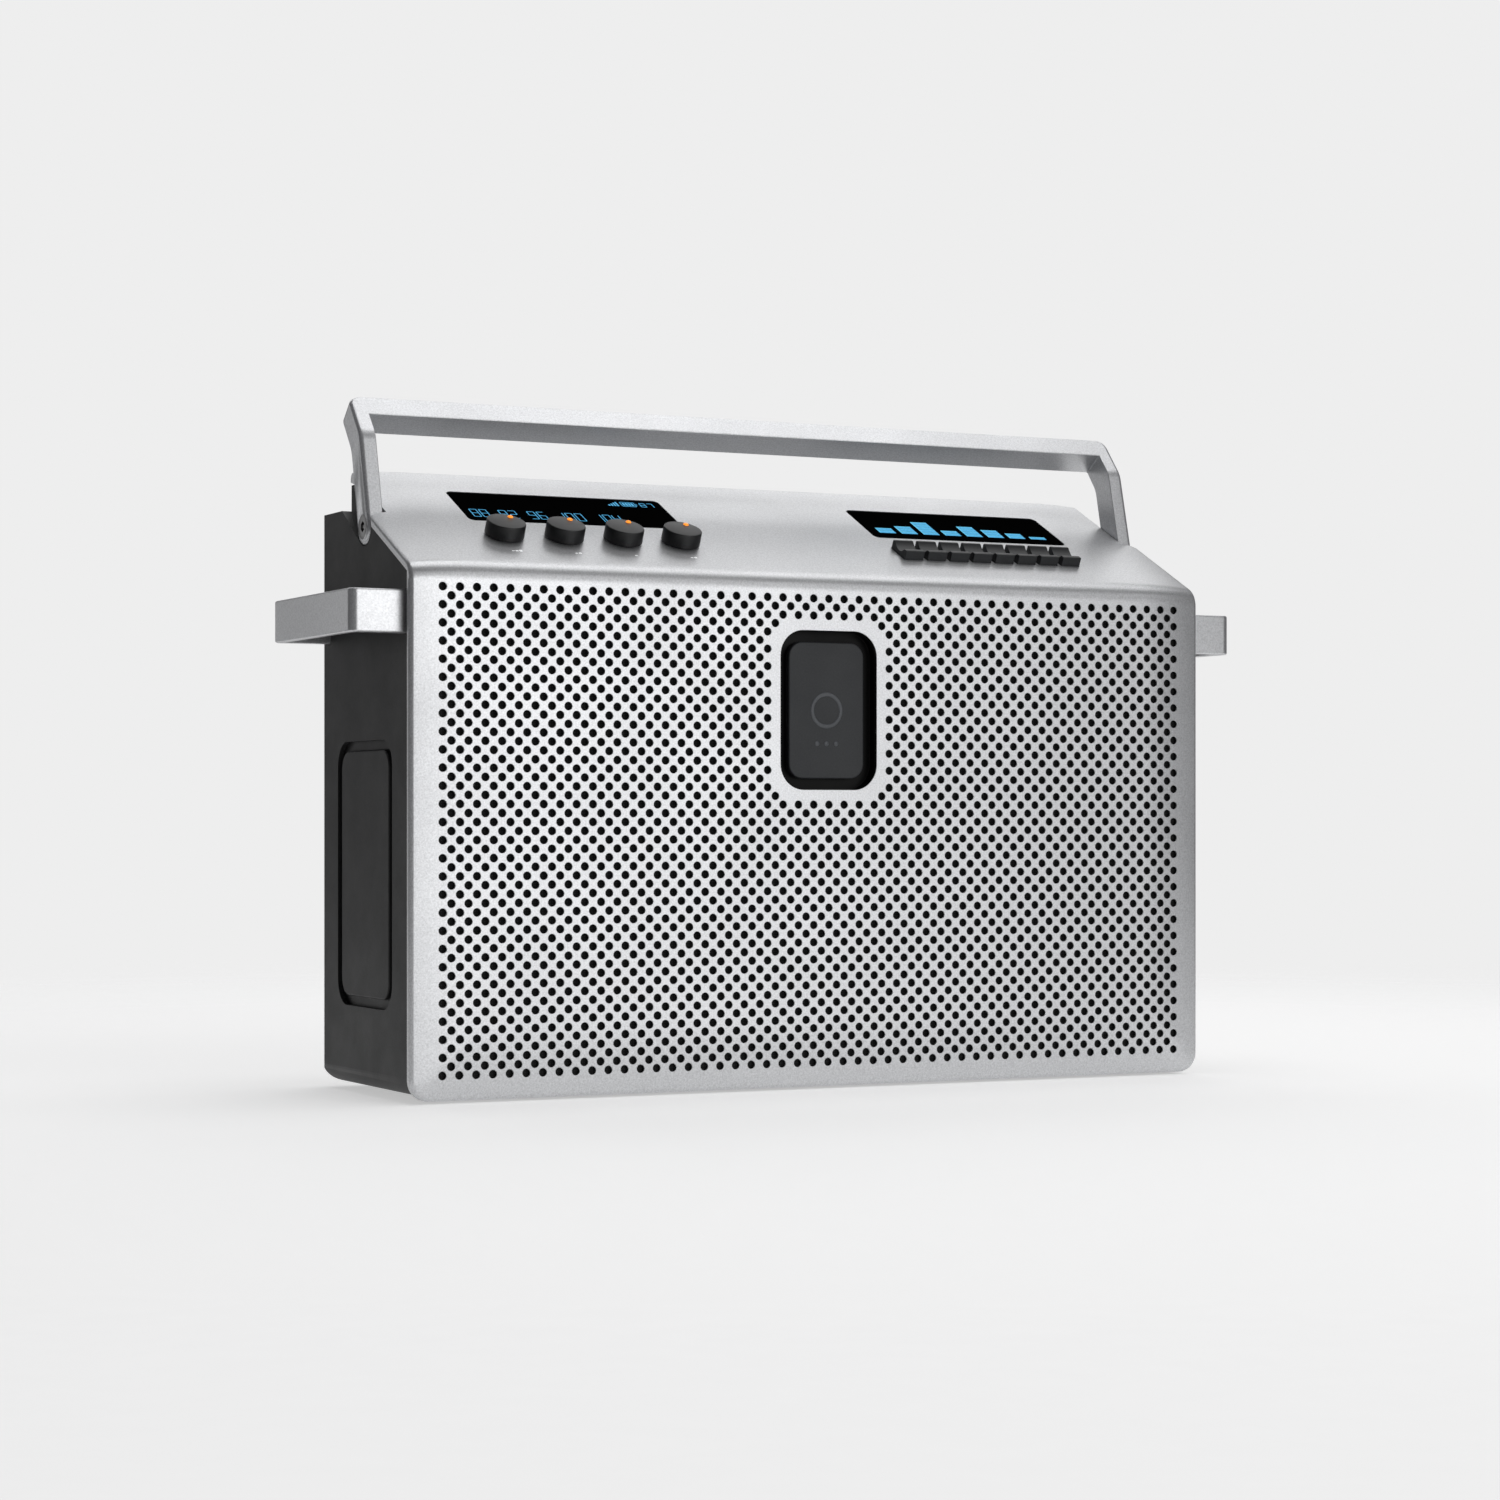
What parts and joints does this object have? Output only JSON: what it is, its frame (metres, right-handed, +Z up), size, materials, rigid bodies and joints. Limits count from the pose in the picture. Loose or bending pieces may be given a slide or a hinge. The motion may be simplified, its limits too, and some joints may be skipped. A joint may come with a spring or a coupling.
{
  "type": "portable radio",
  "caption": "Portable radio speaker with a perforated silver front, a sloping deck of knobs, keys and displays, a folding carry handle and strap loops at the sides.",
  "frame": {"origin": "under the middle of the object's box, at the level of the bottoms of its feet", "axes": "+X to the right as seen from the front, +Y from the front grille to the back, +Z up"},
  "size_m": [0.4634, 0.124, 0.3215],
  "materials": {
    "silver": "fine bead-blasted silver",
    "black_plastic": "fine-grained black",
    "charcoal_plastic": "smooth satin charcoal",
    "key_plastic": "smooth satin dark grey",
    "display_lens": "polished black",
    "circuit_board": "green solder mask",
    "grille_cloth": "fine black weave",
    "baffle_board": "raw fibreboard",
    "steel": "plated steel",
    "cone_paper": "pressed black paper cone",
    "ferrite": "dark ferrite and steel",
    "rubber": "soft black rubber",
    "battery_wrap": "blue shrink wrap"
  },
  "bodies": {
    "case": {"acoustic_cloth": "grille_cloth", "amplifier_board": "circuit_board", "badge_plate": "charcoal_plastic", "baffle_board": "baffle_board", "battery_pack": "battery_wrap", "case_screw_1": "steel", "case_screw_2": "steel", "case_screw_3": "steel", "case_screw_4": "steel", "connector_plate": "charcoal_plastic", "control_board": "circuit_board", "display_lens_left": "display_lens", "display_lens_right": "display_lens", "display_module_left": "circuit_board", "display_module_right": "circuit_board", "encoder_body_1": "steel", "encoder_body_2": "steel", "encoder_body_3": "steel", "encoder_body_4": "steel", "foot_1": "rubber", "foot_2": "rubber", "foot_3": "rubber", "foot_4": "rubber", "front_shell": "silver", "key_tray": "black_plastic", "pivot_screw_left": "steel", "pivot_screw_right": "steel", "rear_housing": "black_plastic", "side_pad_left": "black_plastic", "side_pad_right": "black_plastic", "strap_loop_left": "silver", "strap_loop_right": "silver", "tweeter_left": "ferrite", "tweeter_right": "ferrite", "window_tray": "black_plastic", "woofer_frame_left": "steel", "woofer_frame_right": "steel", "woofer_magnet_left": "ferrite", "woofer_magnet_right": "ferrite"},
    "handle": {"handle_grip": "silver", "handle_arm_left": "silver", "handle_arm_right": "silver"},
    "knob_1": {"knob_1": "charcoal_plastic", "knob_shaft_1": "steel"},
    "knob_2": {"knob_2": "charcoal_plastic", "knob_shaft_2": "steel"},
    "knob_3": {"knob_3": "charcoal_plastic", "knob_shaft_3": "steel"},
    "knob_4": {"knob_4": "charcoal_plastic", "knob_shaft_4": "steel"},
    "key_1": {"key_1": "key_plastic"},
    "key_2": {"key_2": "key_plastic"},
    "key_3": {"key_3": "key_plastic"},
    "key_4": {"key_4": "key_plastic"},
    "key_5": {"key_5": "key_plastic"},
    "key_6": {"key_6": "key_plastic"},
    "key_7": {"key_7": "key_plastic"},
    "key_8": {"key_8": "key_plastic"},
    "cone_left": {"woofer_cone_left": "cone_paper"},
    "cone_right": {"woofer_cone_right": "cone_paper"}
  },
  "joints": [
    {"name": "handle_swing", "type": "hinge", "parent": "case", "child": "handle", "pos_m": [0, 0.004, 0.2595], "axis": [1, 0, 0], "range_deg": [-44, 0]},
    {"name": "knob_1_turn", "type": "hinge", "parent": "case", "child": "knob_1", "pos_m": [-0.14985, -0.02933, 0.25489], "axis": [0, -0.4462, 0.8949], "range_deg": [-150, 150]},
    {"name": "knob_2_turn", "type": "hinge", "parent": "case", "child": "knob_2", "pos_m": [-0.12035, -0.02933, 0.25489], "axis": [0, -0.4462, 0.8949], "range_deg": [-150, 150]},
    {"name": "knob_3_turn", "type": "hinge", "parent": "case", "child": "knob_3", "pos_m": [-0.09085, -0.02933, 0.25489], "axis": [0, -0.4462, 0.8949], "range_deg": [-150, 150]},
    {"name": "knob_4_turn", "type": "hinge", "parent": "case", "child": "knob_4", "pos_m": [-0.06135, -0.02933, 0.25489], "axis": [0, -0.4462, 0.8949], "range_deg": [-150, 150]},
    {"name": "key_1_press", "type": "slide", "parent": "case", "child": "key_1", "axis": [0, 0.4462, -0.8949], "range_m": [0, 0.0015], "stiffness_N_per_m": 200, "springref_m": -0.001},
    {"name": "key_2_press", "type": "slide", "parent": "case", "child": "key_2", "axis": [0, 0.4462, -0.8949], "range_m": [0, 0.0015], "stiffness_N_per_m": 200, "springref_m": -0.001},
    {"name": "key_3_press", "type": "slide", "parent": "case", "child": "key_3", "axis": [0, 0.4462, -0.8949], "range_m": [0, 0.0015], "stiffness_N_per_m": 200, "springref_m": -0.001},
    {"name": "key_4_press", "type": "slide", "parent": "case", "child": "key_4", "axis": [0, 0.4462, -0.8949], "range_m": [0, 0.0015], "stiffness_N_per_m": 200, "springref_m": -0.001},
    {"name": "key_5_press", "type": "slide", "parent": "case", "child": "key_5", "axis": [0, 0.4462, -0.8949], "range_m": [0, 0.0015], "stiffness_N_per_m": 200, "springref_m": -0.001},
    {"name": "key_6_press", "type": "slide", "parent": "case", "child": "key_6", "axis": [0, 0.4462, -0.8949], "range_m": [0, 0.0015], "stiffness_N_per_m": 200, "springref_m": -0.001},
    {"name": "key_7_press", "type": "slide", "parent": "case", "child": "key_7", "axis": [0, 0.4462, -0.8949], "range_m": [0, 0.0015], "stiffness_N_per_m": 200, "springref_m": -0.001},
    {"name": "key_8_press", "type": "slide", "parent": "case", "child": "key_8", "axis": [0, 0.4462, -0.8949], "range_m": [0, 0.0015], "stiffness_N_per_m": 200, "springref_m": -0.001},
    {"name": "woofer_left_stroke", "type": "slide", "parent": "case", "child": "cone_left", "axis": [0, 1, 0], "range_m": [-0.003, 0.003], "stiffness_N_per_m": 2000},
    {"name": "woofer_right_stroke", "type": "slide", "parent": "case", "child": "cone_right", "axis": [0, 1, 0], "range_m": [-0.003, 0.003], "stiffness_N_per_m": 2000}
  ]
}
